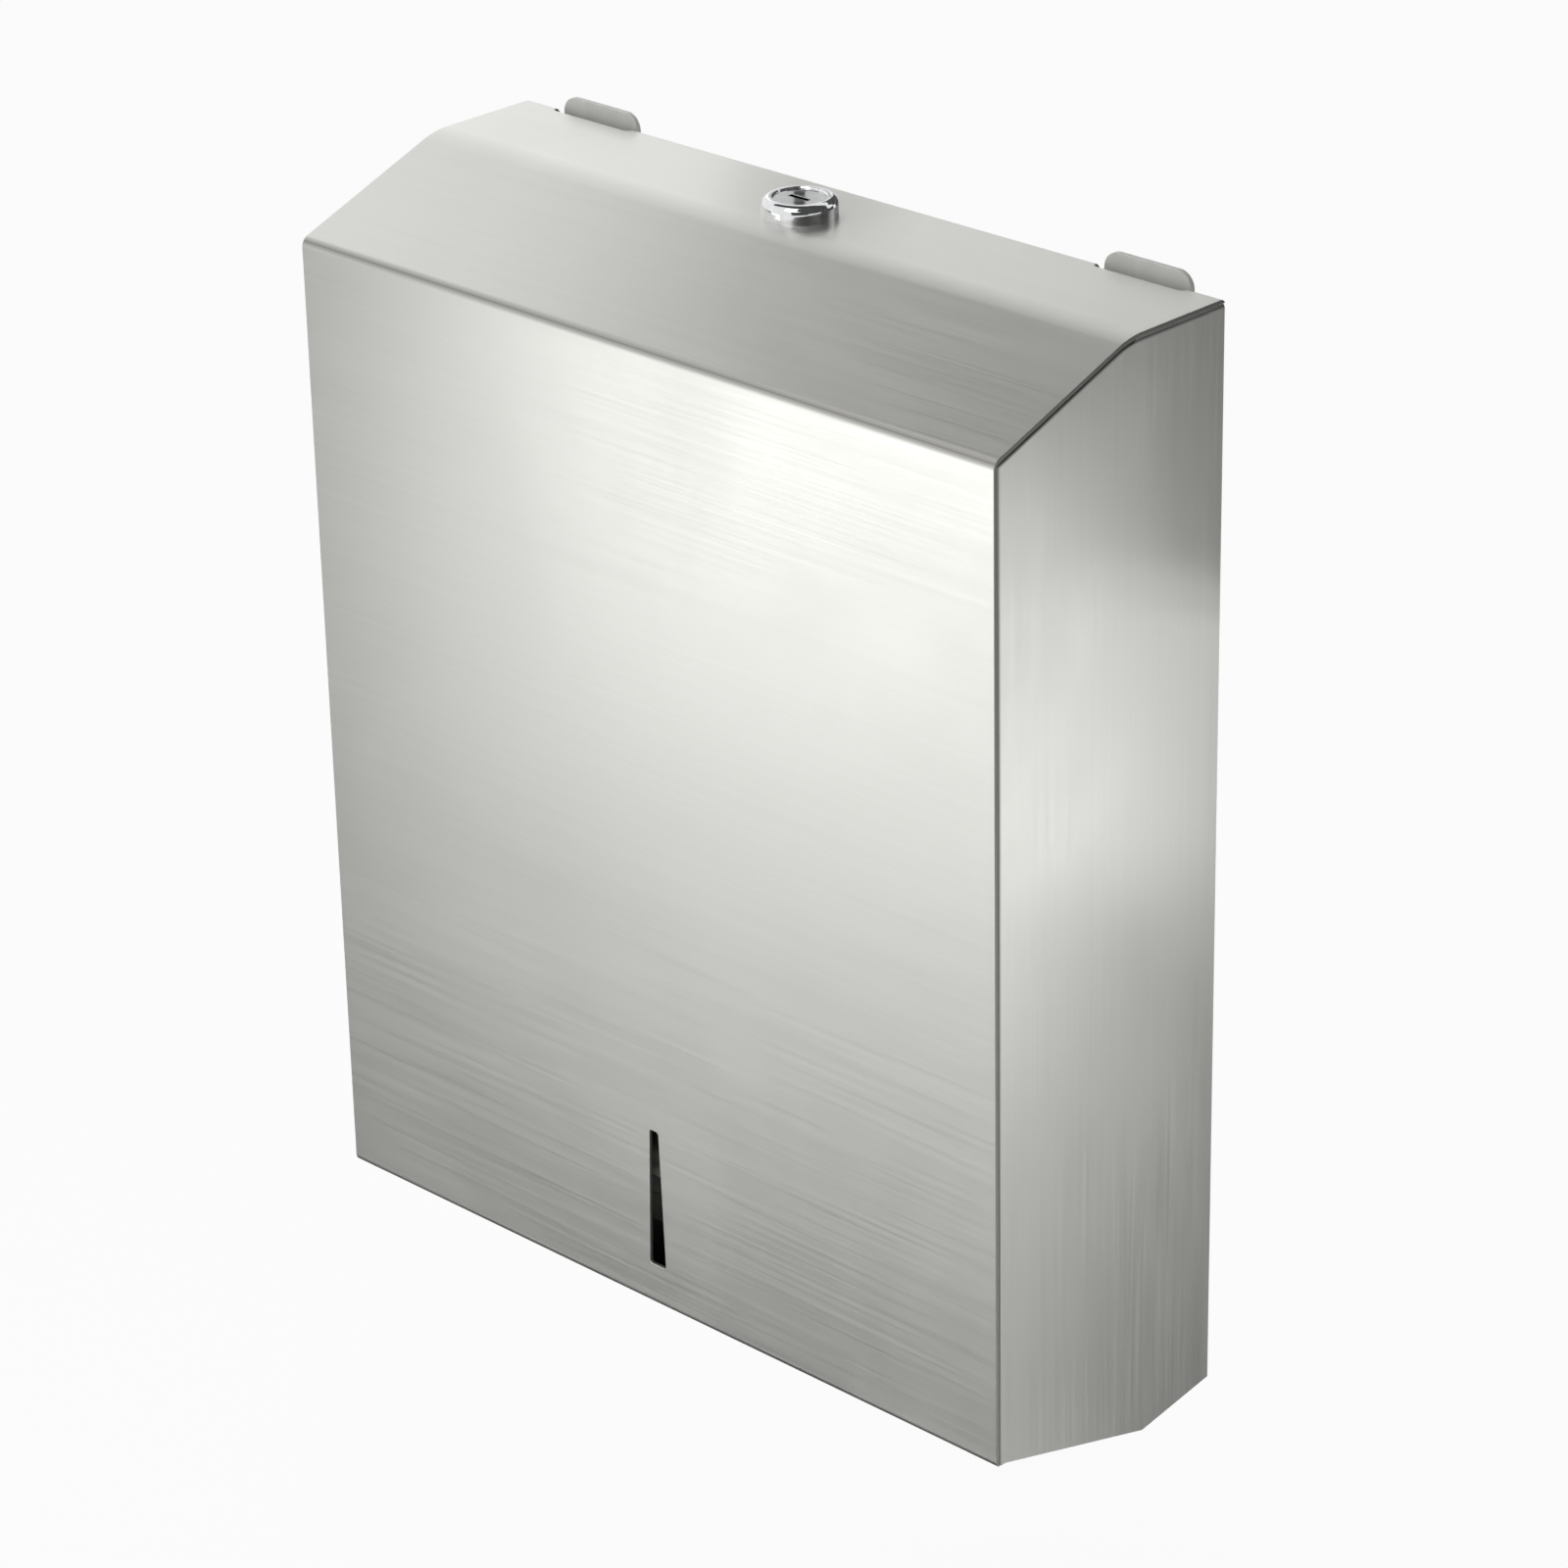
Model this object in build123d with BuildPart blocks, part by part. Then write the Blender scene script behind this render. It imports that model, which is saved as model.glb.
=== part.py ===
from build123d import *
import os

# A wall-hung stainless steel dispenser for folded paper towels.
# Origin: in the wall plane, at the middle of the four wall screws. +Z is up, +Y goes into the wall.

# Cover, outside sizes
body_width = 270.0
body_depth = 96.0
front_height = 305.0
top_rise = 20.0
strip_depth = 42.0
knee_depth = 32.0
knee_drop = 16.5
rear_drop = 11.5
mount_height = 160.0
wall_gap = 2.5

# Cover sheet and folds
cover_sheet = 1.2
side_sheet = 1.2
side_inset = 0.3
side_flange = 12.0
side_bend = 1.6
side_level = 3.0
side_relief = 6.0
front_fold = 3.2
strip_fold = 26.0
edge_fold = 2.2
lip_depth = 12.0
hem_depth = 8.0
corner_gap = 0.8
weld_gap = 0.1
seat_gap = 0.05

# Viewing slot in the front
slot_bottom = 14.0
slot_height = 45.5
slot_top_width = 3.5
slot_bottom_width = 6.6
slot_corner = 0.9

# Wall plate
plate_sheet = 1.5
plate_side_gap = 2.0
plate_top_gap = 6.0
plate_bend = 2.5
plate_corner = 6.0
plate_drop = 11.0
stop_flange_inset = 18.0
screw_hole_r = 2.75
screw_edge_x = 33.0
screw_spacing_z = 240.0
ear_edge = 22.0
ear_width = 31.0
ear_rise = 3.6
ear_corner = 5.0
notch_clearance = 0.7
notch_depth = 6.0
notch_corner = 2.0

# Hinge
pivot_depth = 18.0
pivot_drop = 4.0
stud_r = 3.0
stud_flange_r = 5.0
stud_flange = 1.5
stud_end = 1.2
stud_chamfer = 0.5
bush_wall = 1.5
bush_flange_r = 5.6
bush_flange = 1.2
bush_length = 4.0
hinge_running = 0.05
hinge_side_gap = 0.2
washer_r = 5.5
washer_sheet = 0.8
washer_gap = 0.1
clip_r = 5.2
clip_sheet = 0.8
groove_r = 2.2
clip_gap = 0.05
clip_mouth = 3.6
hinge_ear_r = 7.4

# Tie across the bottom of the cover
tie_sheet = 1.2
tie_ear_gap = 0.4
tie_width = 23.0
tie_setback = 4.0
tie_tab = 10.0
tie_bend = 2.0
tie_relief = 2.5
stop_gap = 0.3

# Towel guides
guide_sheet = 1.2
guide_front_gap = 2.8
guide_return = 22.0
guide_rear_flange = 18.0
guide_bend = 2.2
guide_height = 260.0
guide_front_height = 212.0
guide_shoulder = 40.0
guide_lift = 3.0

# Towel tray
tray_sheet = 1.0
tray_lift = 5.0
tray_wall = 15.0
tray_front_wall = 6.0
tray_bend = 1.6
throat_length = 190.0
throat_width = 19.0
throat_setback = 29.5
throat_collar = 5.0

# Rivets
rivet_r = 1.6
rivet_head_r = 3.2
rivet_head = 1.2
rivet_dome = 0.9
rivet_tail_r = 2.4
rivet_tail = 1.0
rivet_flush = 0.1
rivet_gap = 0.05
guide_rivet_count = 3
guide_rivet_end = 45.0
tray_rivet_end = 22.0
tray_rivet_height = 9.0

# Closing bumpers
bumper_r = 4.5
bumper_gap = 0.3
bumper_edge = 6.0
bumper_drop = 22.0
bumper_round = 0.8

# Lock
lock_setback = 27.0
lock_head_r = 11.0
lock_head = 5.5
lock_head_round = 2.6
lock_dish = 0.6
lock_mouth = 0.4
barrel_r = 9.0
barrel_flats = 16.0
barrel_length = 17.0
barrel_gap = 0.1
plug_r = 6.5
plug_head_r = 7.5
plug_head = 1.6
plug_running = 0.05
plug_seat_gap = 0.1
keyway_length = 7.6
keyway_width = 1.8
keyway_depth = 6.0
lock_washer_r = 11.0
lock_washer_sheet = 1.0
nut_flats = 24.0
nut_height = 5.0
nut_chamfer = 0.8
doubler_width = 60.0
doubler_depth = 30.0
doubler_sheet = 1.2
doubler_corner = 4.0
cam_sheet = 2.0
cam_hub_r = 8.5
cam_reach = 21.0
cam_width = 12.0
cam_corner = 2.0
cam_gap = 0.3
cam_square = 7.0
cam_square_gap = 0.05
cam_washer_r = 4.8
cam_washer_sheet = 0.8
cam_screw_r = 2.0
cam_screw_length = 9.0
cam_screw_head_r = 3.6
cam_screw_head = 2.4
cam_screw_socket = 2.5
cam_screw_gap = 0.05

# Strike bracket
strike_sheet = 1.5
strike_bend = 2.5
strike_width = 24.0
strike_side_gap = 2.5
strike_play = 1.0
strike_drop = 4.0
strike_lip_over = 1.0
strike_foot = 14.0
strike_rivet_edge = 6.0

# Places worked out from the sizes above
half_width = body_width / 2
front_bottom = -mount_height
front_top = front_bottom + front_height
top = front_top + top_rise
lap = cover_sheet + weld_gap

front_foot = (-body_depth, front_bottom)
front_corner = (-body_depth, front_top)
strip_corner = (-strip_depth, top)
rear_corner = (-wall_gap, top)

pivot_y = -pivot_depth
pivot_z = front_bottom - pivot_drop

side_outer = half_width - side_inset
side_inner = side_outer - side_sheet
flap_half = side_outer - side_flange - corner_gap
stud_seat = side_inner - weld_gap
guide_outer = stud_seat - stud_flange - hinge_side_gap - bush_flange
guide_inner = guide_outer - guide_sheet
guide_front = -(body_depth - cover_sheet - guide_front_gap)
guide_rear = -plate_sheet
guide_bottom = front_bottom + guide_lift

plate_half = guide_outer - plate_side_gap
plate_top = top - plate_top_gap
plate_bottom = front_bottom - plate_drop
ear_x = plate_half - ear_edge
screw_x = plate_half - screw_edge_x

tie_inner = pivot_z - hinge_ear_r - tie_ear_gap
tie_outer = tie_inner - tie_sheet
stop_flange = pivot_depth - (pivot_z - tie_outer) - stop_gap

tray_floor = front_bottom + tray_lift
lock_y = -lock_setback
strip_under = top - cover_sheet
barrel_end = top - barrel_length
cam_top = barrel_end - cam_gap
cam_under = cam_top - cam_sheet

washer_face = guide_outer - bush_length - washer_gap
clip_face = washer_face - washer_sheet - clip_gap
stud_tip = clip_face - clip_sheet - clip_gap - stud_end

tray_front = guide_front + guide_sheet
tray_rear = guide_rear - guide_sheet
tray_rivet_z = tray_floor + tray_rivet_height
throat_y = throat_setback + throat_width / 2 - body_depth

guide_rivet_x = guide_inner - (guide_rear_flange - guide_sheet) / 2
guide_rivet_step = (guide_height - 2 * guide_rivet_end) / (guide_rivet_count - 1)
guide_rivets = [
    (side * guide_rivet_x, guide_bottom + guide_rivet_end + row * guide_rivet_step)
    for side in (-1, 1)
    for row in range(guide_rivet_count)
]
tray_rear_rivets = [(side * guide_rivet_x, tray_rivet_z) for side in (-1, 1)]
tray_side_rivets = [
    (place, tray_rivet_z) for place in (tray_front + tray_rivet_end, tray_rear - tray_rivet_end)
]

bush_r = stud_r + hinge_running + bush_wall
bumper_x = guide_outer - guide_return + bumper_edge
bumper_z = guide_bottom + guide_front_height - bumper_drop

doubler_top = strip_under - weld_gap
lock_washer_top = doubler_top - doubler_sheet
nut_top = lock_washer_top - lock_washer_sheet
lock_face = top + lock_head
plug_face = lock_face - lock_dish

strike_left = cam_hub_r + strike_side_gap
strike_top = cam_under - strike_drop
strike_lip_rear = lock_y - cam_width / 2 - strike_play
strike_rivets = [
    (strike_left + edge, strike_top - strike_bend - strike_foot / 2)
    for edge in (strike_rivet_edge, strike_width - strike_rivet_edge)
]

os.makedirs("parts", exist_ok=True)


def save(part, name):
    """Label a finished piece and write it out."""
    part.label = name
    export_step(part, f"parts/{name}.step")


def save_pair(right_part, name):
    """Write a right-hand piece and its mirror image on the left."""
    with BuildPart() as left:
        mirror(right_part, about=Plane.YZ)
    save(right_part, f"right_{name}")
    save(left.part, f"left_{name}")


def barrel_outline(gap):
    """The lock barrel's round section with two flats, grown by a gap."""
    Circle(barrel_r + gap)
    Rectangle(2 * (barrel_r + gap), barrel_flats + 2 * gap, mode=Mode.INTERSECT)


def roof_line(inset):
    """The line of the front, slope and top strip, set in from the cover's outside."""
    FilletPolyline(front_foot, front_corner, strip_corner, rear_corner, radius=[front_fold, strip_fold])
    offset(amount=inset, side=Side.RIGHT, closed=False)


def hinge_plane(x):
    """A plane square to the hinge line, with its origin on it."""
    return Plane(origin=(x, pivot_y, pivot_z), x_dir=(0, 1, 0), z_dir=(1, 0, 0))


def rivet_holes(seat, places, depth):
    """Clearance holes for rivet shanks, cut from a seat plane downwards."""
    with BuildSketch(seat) as holes:
        with Locations(*places):
            Circle(rivet_r + rivet_gap)
    extrude(holes.sketch, amount=-depth, mode=Mode.SUBTRACT)


def rivets(seat, places, grip):
    """Domed rivets with their heads on a seat plane and their shanks through the grip."""
    with BuildSketch(seat) as heads:
        with Locations(*places):
            Circle(rivet_head_r)
    extrude(heads.sketch, amount=rivet_head)
    head_tops = edges(Select.LAST).group_by(Axis(seat.origin, seat.z_dir))[-1]
    fillet(head_tops, radius=rivet_dome)
    with BuildSketch(seat) as shanks:
        with Locations(*places):
            Circle(rivet_r)
    extrude(shanks.sketch, amount=-grip)


# Cover shell: bottom lip, front, slope, top strip and rear hem, folded from one sheet
with BuildPart() as cover_shell:
    with BuildSketch(Plane.YZ):
        with BuildLine():
            FilletPolyline(
                (lip_depth - body_depth, front_bottom),
                front_foot,
                front_corner,
                strip_corner,
                rear_corner,
                (-wall_gap, top - hem_depth),
                radius=[edge_fold, front_fold, strip_fold, edge_fold],
            )
            offset(amount=cover_sheet, side=Side.RIGHT)
        make_face()
    extrude(amount=half_width, both=True)
    for corner in (flap_half, -half_width):
        with BuildSketch(Plane.YZ.offset(corner)):
            with Locations((cover_sheet - body_depth, front_bottom)):
                Rectangle(body_depth, 2 * edge_fold, align=(Align.MIN, Align.CENTER))
            with Locations((-wall_gap, strip_under)):
                Rectangle(2 * edge_fold, body_depth, align=(Align.CENTER, Align.MAX))
        extrude(amount=half_width - flap_half, mode=Mode.SUBTRACT)
    with BuildSketch(Plane.XZ.offset(body_depth)):
        Polygon(
            (-slot_bottom_width / 2, front_bottom + slot_bottom),
            (slot_bottom_width / 2, front_bottom + slot_bottom),
            (slot_top_width / 2, front_bottom + slot_bottom + slot_height),
            (-slot_top_width / 2, front_bottom + slot_bottom + slot_height),
            align=None,
        )
        fillet(vertices(), radius=slot_corner)
    extrude(amount=-2 * cover_sheet, mode=Mode.SUBTRACT)
    with BuildSketch(Plane.XY.offset(top)):
        with Locations((-ear_x, 0), (ear_x, 0)):
            RectangleRounded(ear_width + 2 * notch_clearance, 2 * notch_depth, notch_corner)
    extrude(amount=-hem_depth - cover_sheet, mode=Mode.SUBTRACT)
    with BuildSketch(Plane.XY.offset(top)):
        with Locations((0, lock_y)):
            barrel_outline(barrel_gap)
    extrude(amount=-2 * cover_sheet, mode=Mode.SUBTRACT)
save(cover_shell.part, "cover_shell")

# Cover sides: plates with a flange bent in along the front, slope and strip, spot-welded under the shell
with BuildPart() as right_side:
    with BuildSketch(Plane.YZ.offset(side_inner)):
        with BuildLine():
            roof_line(lap)
            Polyline(
                (-wall_gap, top - lap),
                (-wall_gap, front_bottom - rear_drop),
                (-knee_depth, front_bottom - knee_drop),
                (lap + side_level - body_depth, front_bottom),
                (lap - body_depth, front_bottom),
            )
        make_face()
    extrude(amount=side_sheet)
    with BuildSketch(Plane.YZ.offset(side_outer - side_flange)):
        with BuildLine():
            roof_line(lap)
            offset(amount=side_sheet, side=Side.RIGHT)
        make_face()
    extrude(amount=side_flange - side_sheet)
    outer_edges = faces().sort_by(Axis.X)[-1].edges()
    bent_edges = outer_edges.filter_by(
        lambda edge: edge.center().Z > front_bottom and edge.center().Y < -wall_gap - weld_gap
    )
    fillet(bent_edges, radius=side_bend)
    with BuildSketch(Plane.YZ.offset(side_outer - side_flange)):
        with Locations(front_corner, strip_corner):
            Circle(side_relief)
    extrude(amount=side_flange - side_sheet, mode=Mode.SUBTRACT)
save_pair(right_side.part, "side_plate")

# Bottom tie: a strip between the sides, with its ends bent up and welded to them
with BuildPart() as bottom_tie:
    with BuildSketch(Plane.XZ.offset(pivot_depth + tie_setback)):
        with BuildLine():
            FilletPolyline(
                (-stud_seat, tie_outer + tie_tab),
                (-stud_seat, tie_outer),
                (stud_seat, tie_outer),
                (stud_seat, tie_outer + tie_tab),
                radius=tie_bend,
            )
            offset(amount=tie_sheet, side=Side.LEFT)
        make_face()
    extrude(amount=tie_width)
    with BuildSketch(Plane.XZ.offset(pivot_depth + tie_setback)):
        with Locations((0, tie_outer + tie_bend)):
            Rectangle(body_width, tie_tab, align=(Align.CENTER, Align.MIN))
    extrude(amount=tie_relief, mode=Mode.SUBTRACT)
save(bottom_tie.part, "bottom_tie")

# Wall plate: flat sheet with a stop flange folded out at the bottom and two ears at the top
with BuildPart() as wall_plate:
    with BuildSketch(Plane.YZ):
        with BuildLine():
            FilletPolyline(
                (0, plate_top),
                (0, plate_bottom),
                (-stop_flange, plate_bottom),
                radius=plate_bend,
            )
            offset(amount=plate_sheet, side=Side.RIGHT)
        make_face()
    extrude(amount=plate_half, both=True)
    fillet(edges().filter_by(Axis.Y).group_by(Axis.Z)[-1], radius=plate_corner)
    with BuildSketch(Plane.XY.offset(plate_bottom)):
        with Locations((-plate_half, -plate_bend), (plate_half, -plate_bend)):
            Rectangle(2 * stop_flange_inset, body_depth, align=(Align.CENTER, Align.MAX))
    extrude(amount=plate_bend, mode=Mode.SUBTRACT)
    with BuildSketch(Plane.XZ):
        with Locations((-ear_x, top + ear_rise), (ear_x, top + ear_rise)):
            Rectangle(ear_width, 2 * ear_rise + plate_top_gap, align=(Align.CENTER, Align.MAX))
        fillet(vertices().group_by(Axis.Y)[-1], radius=ear_corner)
    extrude(amount=plate_sheet)
    with BuildSketch(Plane.XZ):
        with GridLocations(2 * screw_x, screw_spacing_z, 2, 2):
            Circle(screw_hole_r)
    extrude(amount=plate_sheet, mode=Mode.SUBTRACT)
    rivet_holes(Plane.XZ.offset(plate_sheet), guide_rivets + tray_rear_rivets + strike_rivets, plate_sheet)
save(wall_plate.part, "wall_plate")

# Towel guides: C channels riveted to the wall plate, each with a hinge ear below
with BuildPart() as right_guide:
    with BuildSketch(Plane.XY.offset(guide_bottom)):
        with BuildLine():
            FilletPolyline(
                (guide_outer - guide_return, guide_front),
                (guide_outer, guide_front),
                (guide_outer, guide_rear),
                (guide_outer - guide_rear_flange, guide_rear),
                radius=guide_bend,
            )
            offset(amount=guide_sheet, side=Side.LEFT)
        make_face()
    extrude(amount=guide_height)
    with BuildSketch(Plane.YZ):
        Polygon(
            (guide_front, guide_bottom + guide_front_height),
            (-guide_shoulder, guide_bottom + guide_height),
            (guide_front, guide_bottom + guide_height),
            align=None,
        )
    extrude(amount=half_width, mode=Mode.SUBTRACT)
    with BuildSketch(hinge_plane(guide_inner)):
        Circle(hinge_ear_r)
        Rectangle(2 * hinge_ear_r, guide_bottom - pivot_z, align=(Align.CENTER, Align.MIN))
    extrude(amount=guide_sheet)
    with BuildSketch(hinge_plane(guide_inner)):
        Circle(bush_r + seat_gap)
    extrude(amount=guide_sheet, mode=Mode.SUBTRACT)
    rivet_holes(Plane.XZ.offset(-tray_rear), guide_rivets + tray_rear_rivets, guide_sheet)
    rivet_holes(Plane.YZ.offset(guide_outer), tray_side_rivets, guide_sheet)
save_pair(right_guide.part, "towel_guide")

# Towel tray: a drawn pan between the guides, with the throat the towels are pulled through
with BuildPart() as towel_tray:
    with BuildSketch(Plane.XY.offset(tray_floor)):
        with Locations((0, (tray_front + tray_rear) / 2)):
            Rectangle(2 * guide_inner, tray_rear - tray_front)
    extrude(amount=tray_wall)
    fillet(edges().filter_by(Axis.Z), radius=tray_bend)
    fillet(edges().group_by(Axis.Z)[0], radius=tray_bend)
    offset(amount=-tray_sheet, openings=faces().sort_by(Axis.Z)[-1])
    with BuildSketch(Plane.XY.offset(tray_floor + tray_front_wall)):
        with Locations((0, tray_front)):
            Rectangle(2 * (guide_outer - guide_return), 2 * tray_bend)
    extrude(amount=tray_wall, mode=Mode.SUBTRACT)
    with BuildSketch(Plane.XY.offset(tray_floor)):
        with Locations((0, throat_y)):
            SlotOverall(throat_length + 2 * tray_sheet, throat_width + 2 * tray_sheet)
    extrude(amount=-throat_collar)
    with BuildSketch(Plane.XY.offset(tray_floor - throat_collar)):
        with Locations((0, throat_y)):
            SlotOverall(throat_length, throat_width)
    extrude(amount=throat_collar + tray_sheet, mode=Mode.SUBTRACT)
    rivet_holes(Plane.XZ.offset(-tray_rear), tray_rear_rivets, -tray_sheet)
    for wall in (guide_inner, tray_sheet - guide_inner):
        rivet_holes(Plane.YZ.offset(wall), tray_side_rivets, tray_sheet)
save(towel_tray.part, "towel_tray")

# Strike bracket: a Z-shaped strip behind whose lip the lock cam catches
with BuildPart() as strike_bracket:
    with BuildSketch(Plane.YZ.offset(strike_left)):
        with BuildLine():
            FilletPolyline(
                (-plate_sheet, strike_top - strike_bend - strike_foot),
                (-plate_sheet, strike_top),
                (strike_lip_rear, strike_top),
                (strike_lip_rear, cam_top + strike_lip_over),
                radius=strike_bend,
            )
            offset(amount=strike_sheet, side=Side.LEFT)
        make_face()
    extrude(amount=strike_width)
    rivet_holes(Plane.XZ.offset(plate_sheet + strike_sheet), strike_rivets, strike_sheet)
save(strike_bracket.part, "strike_bracket")

# Rivets: domed inside, flush on the wall side; those in the tray's ends have a set tail outside
with BuildPart() as guide_rivet_set:
    rivets(Plane.XZ.offset(-tray_rear), guide_rivets, -tray_rear - rivet_flush)
save(guide_rivet_set.part, "guide_rivets")

with BuildPart() as strike_rivet_set:
    strike_seat = plate_sheet + strike_sheet
    rivets(Plane.XZ.offset(strike_seat), strike_rivets, strike_seat - rivet_flush)
save(strike_rivet_set.part, "strike_rivets")

with BuildPart() as tray_rivet_set:
    rivets(Plane.YZ.offset(tray_sheet - guide_inner), tray_side_rivets, tray_sheet + guide_sheet)
    with BuildSketch(Plane.YZ.offset(-guide_outer)):
        with Locations(*tray_side_rivets):
            Circle(rivet_tail_r)
    extrude(amount=-rivet_tail)
    mirror(about=Plane.YZ)
    tray_seat = tray_sheet - tray_rear
    rivets(Plane.XZ.offset(tray_seat), tray_rear_rivets, tray_seat - rivet_flush)
save(tray_rivet_set.part, "tray_rivets")

# Closing bumpers: rubber discs stuck on the guides, behind the cover's front
with BuildPart() as closing_bumpers:
    with BuildSketch(Plane.XZ.offset(-guide_front)):
        with Locations((-bumper_x, bumper_z), (bumper_x, bumper_z)):
            Circle(bumper_r)
    extrude(amount=guide_front_gap - bumper_gap)
    fillet(edges().group_by(Axis.Y)[0], radius=bumper_round)
save(closing_bumpers.part, "closing_bumpers")

# Hinge bushes: flanged plastic sleeves pushed into the hinge ears from outside
with BuildPart() as right_bush:
    with BuildSketch(hinge_plane(guide_outer)):
        Circle(bush_flange_r)
    extrude(amount=bush_flange)
    with BuildSketch(hinge_plane(guide_outer)):
        Circle(bush_r)
    extrude(amount=-bush_length)
    with BuildSketch(hinge_plane(guide_outer - bush_length)):
        Circle(stud_r + hinge_running)
    extrude(amount=bush_length + bush_flange, mode=Mode.SUBTRACT)
save_pair(right_bush.part, "hinge_bush")

# Hinge studs: welded inside the cover's sides, with a groove for the clip near the tip
with BuildPart() as right_stud:
    with BuildSketch(hinge_plane(stud_tip)):
        Circle(stud_r)
    extrude(amount=stud_seat - stud_tip)
    with BuildSketch(hinge_plane(stud_seat)):
        Circle(stud_flange_r)
    extrude(amount=-stud_flange)
    with BuildSketch(hinge_plane(clip_face + clip_gap)):
        Circle(stud_flange_r)
        Circle(groove_r, mode=Mode.SUBTRACT)
    extrude(amount=-clip_sheet - 2 * clip_gap, mode=Mode.SUBTRACT)
    chamfer(edges().group_by(Axis.X)[0], length=stud_chamfer)
save_pair(right_stud.part, "hinge_stud")

# Hinge washers: between each bush's end and the clip
with BuildPart() as right_washer:
    with BuildSketch(hinge_plane(washer_face)):
        Circle(washer_r)
        Circle(stud_r + hinge_running, mode=Mode.SUBTRACT)
    extrude(amount=-washer_sheet)
save_pair(right_washer.part, "hinge_washer")

# Hinge clips: open spring rings in the studs' grooves
with BuildPart() as right_clip:
    with BuildSketch(hinge_plane(clip_face)):
        Circle(clip_r)
        Circle(groove_r + clip_gap, mode=Mode.SUBTRACT)
        Rectangle(clip_mouth, 2 * clip_r, align=(Align.CENTER, Align.MAX), mode=Mode.SUBTRACT)
    extrude(amount=-clip_sheet)
save_pair(right_clip.part, "hinge_clip")

# Lock doubler: a plate spot-welded under the top strip to stiffen it round the lock
with BuildPart() as lock_doubler:
    with BuildSketch(Plane.XY.offset(doubler_top)):
        with Locations((0, lock_y + doubler_depth / 2 - lock_washer_r)):
            RectangleRounded(doubler_width, doubler_depth, doubler_corner)
    extrude(amount=-doubler_sheet)
    with BuildSketch(Plane.XY.offset(doubler_top)):
        with Locations((0, lock_y)):
            barrel_outline(barrel_gap)
    extrude(amount=-doubler_sheet, mode=Mode.SUBTRACT)
save(lock_doubler.part, "lock_doubler")

# Lock housing: round head on the strip and a flatted barrel through it, bored for the plug
with BuildPart() as lock_housing:
    with BuildSketch(Plane.XY.offset(top)):
        with Locations((0, lock_y)):
            Circle(lock_head_r)
    extrude(amount=lock_head)
    fillet(edges().group_by(Axis.Z)[-1], radius=lock_head_round)
    with BuildSketch(Plane.XY.offset(top)):
        with Locations((0, lock_y)):
            barrel_outline(0)
    extrude(amount=-barrel_length)
    with Locations((0, lock_y, lock_face)):
        CounterBoreHole(
            radius=plug_r + plug_running,
            counter_bore_radius=plug_head_r + plug_running,
            counter_bore_depth=lock_dish + plug_head + plug_seat_gap,
        )
    mouth_edge = edges().filter_by(GeomType.CIRCLE).group_by(Axis.Z)[-1].sort_by(SortBy.RADIUS)[0]
    chamfer(mouth_edge, length=lock_mouth)
save(lock_housing.part, "lock_housing")

# Lock washer and nut: clamp the housing from below
with BuildPart() as lock_washer:
    with BuildSketch(Plane.XY.offset(lock_washer_top)):
        with Locations((0, lock_y)):
            Circle(lock_washer_r)
            Circle(barrel_r + barrel_gap, mode=Mode.SUBTRACT)
    extrude(amount=-lock_washer_sheet)
save(lock_washer.part, "lock_washer")

with BuildPart() as lock_nut:
    with BuildSketch(Plane.XY.offset(nut_top)):
        with Locations((0, lock_y)):
            RegularPolygon(nut_flats / 2, 6, major_radius=False)
            Circle(barrel_r + barrel_gap, mode=Mode.SUBTRACT)
    extrude(amount=-nut_height)
    chamfer(edges().filter_by(GeomType.CIRCLE), length=nut_chamfer)
save(lock_nut.part, "lock_nut")

# Lock plug: turns in the housing; keyway in its face, square shank and tapped hole at its end
with BuildPart() as lock_plug:
    with BuildSketch(Plane.XY.offset(plug_face)):
        with Locations((0, lock_y)):
            Circle(plug_head_r)
    extrude(amount=-plug_head)
    with BuildSketch(Plane.XY.offset(cam_top)):
        with Locations((0, lock_y)):
            Circle(plug_r)
    extrude(amount=plug_face - plug_head - cam_top)
    with BuildSketch(Plane.XY.offset(cam_top)):
        with Locations((0, lock_y)):
            Rectangle(cam_square, cam_square)
    extrude(amount=-cam_sheet)
    with BuildSketch(Plane.XY.offset(cam_under)):
        with Locations((0, lock_y)):
            Circle(cam_screw_r + cam_screw_gap)
    extrude(amount=cam_screw_length + cam_gap, mode=Mode.SUBTRACT)
    with BuildSketch(Plane.XY.offset(plug_face)):
        with Locations((0, lock_y)):
            Rectangle(keyway_length, keyway_width)
    extrude(amount=-keyway_depth, mode=Mode.SUBTRACT)
save(lock_plug.part, "lock_plug")

# Lock cam: flat arm on the square shank, pointing at the wall while unlocked
with BuildPart() as lock_cam:
    with BuildSketch(Plane.XY.offset(cam_under)):
        with Locations((0, lock_y)):
            Rectangle(cam_width, cam_reach, align=(Align.CENTER, Align.MIN))
        fillet(vertices().group_by(Axis.Y)[-1], radius=cam_corner)
        with Locations((0, lock_y)):
            Circle(cam_hub_r)
            Rectangle(*[cam_square + 2 * cam_square_gap] * 2, mode=Mode.SUBTRACT)
    extrude(amount=cam_sheet)
save(lock_cam.part, "lock_cam")

# Cam washer and screw: hold the cam on the plug
with BuildPart() as cam_washer:
    with BuildSketch(Plane.XY.offset(cam_under)):
        with Locations((0, lock_y)):
            Circle(cam_washer_r)
            Circle(cam_screw_r + cam_screw_gap, mode=Mode.SUBTRACT)
    extrude(amount=-cam_washer_sheet)
save(cam_washer.part, "cam_washer")

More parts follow.
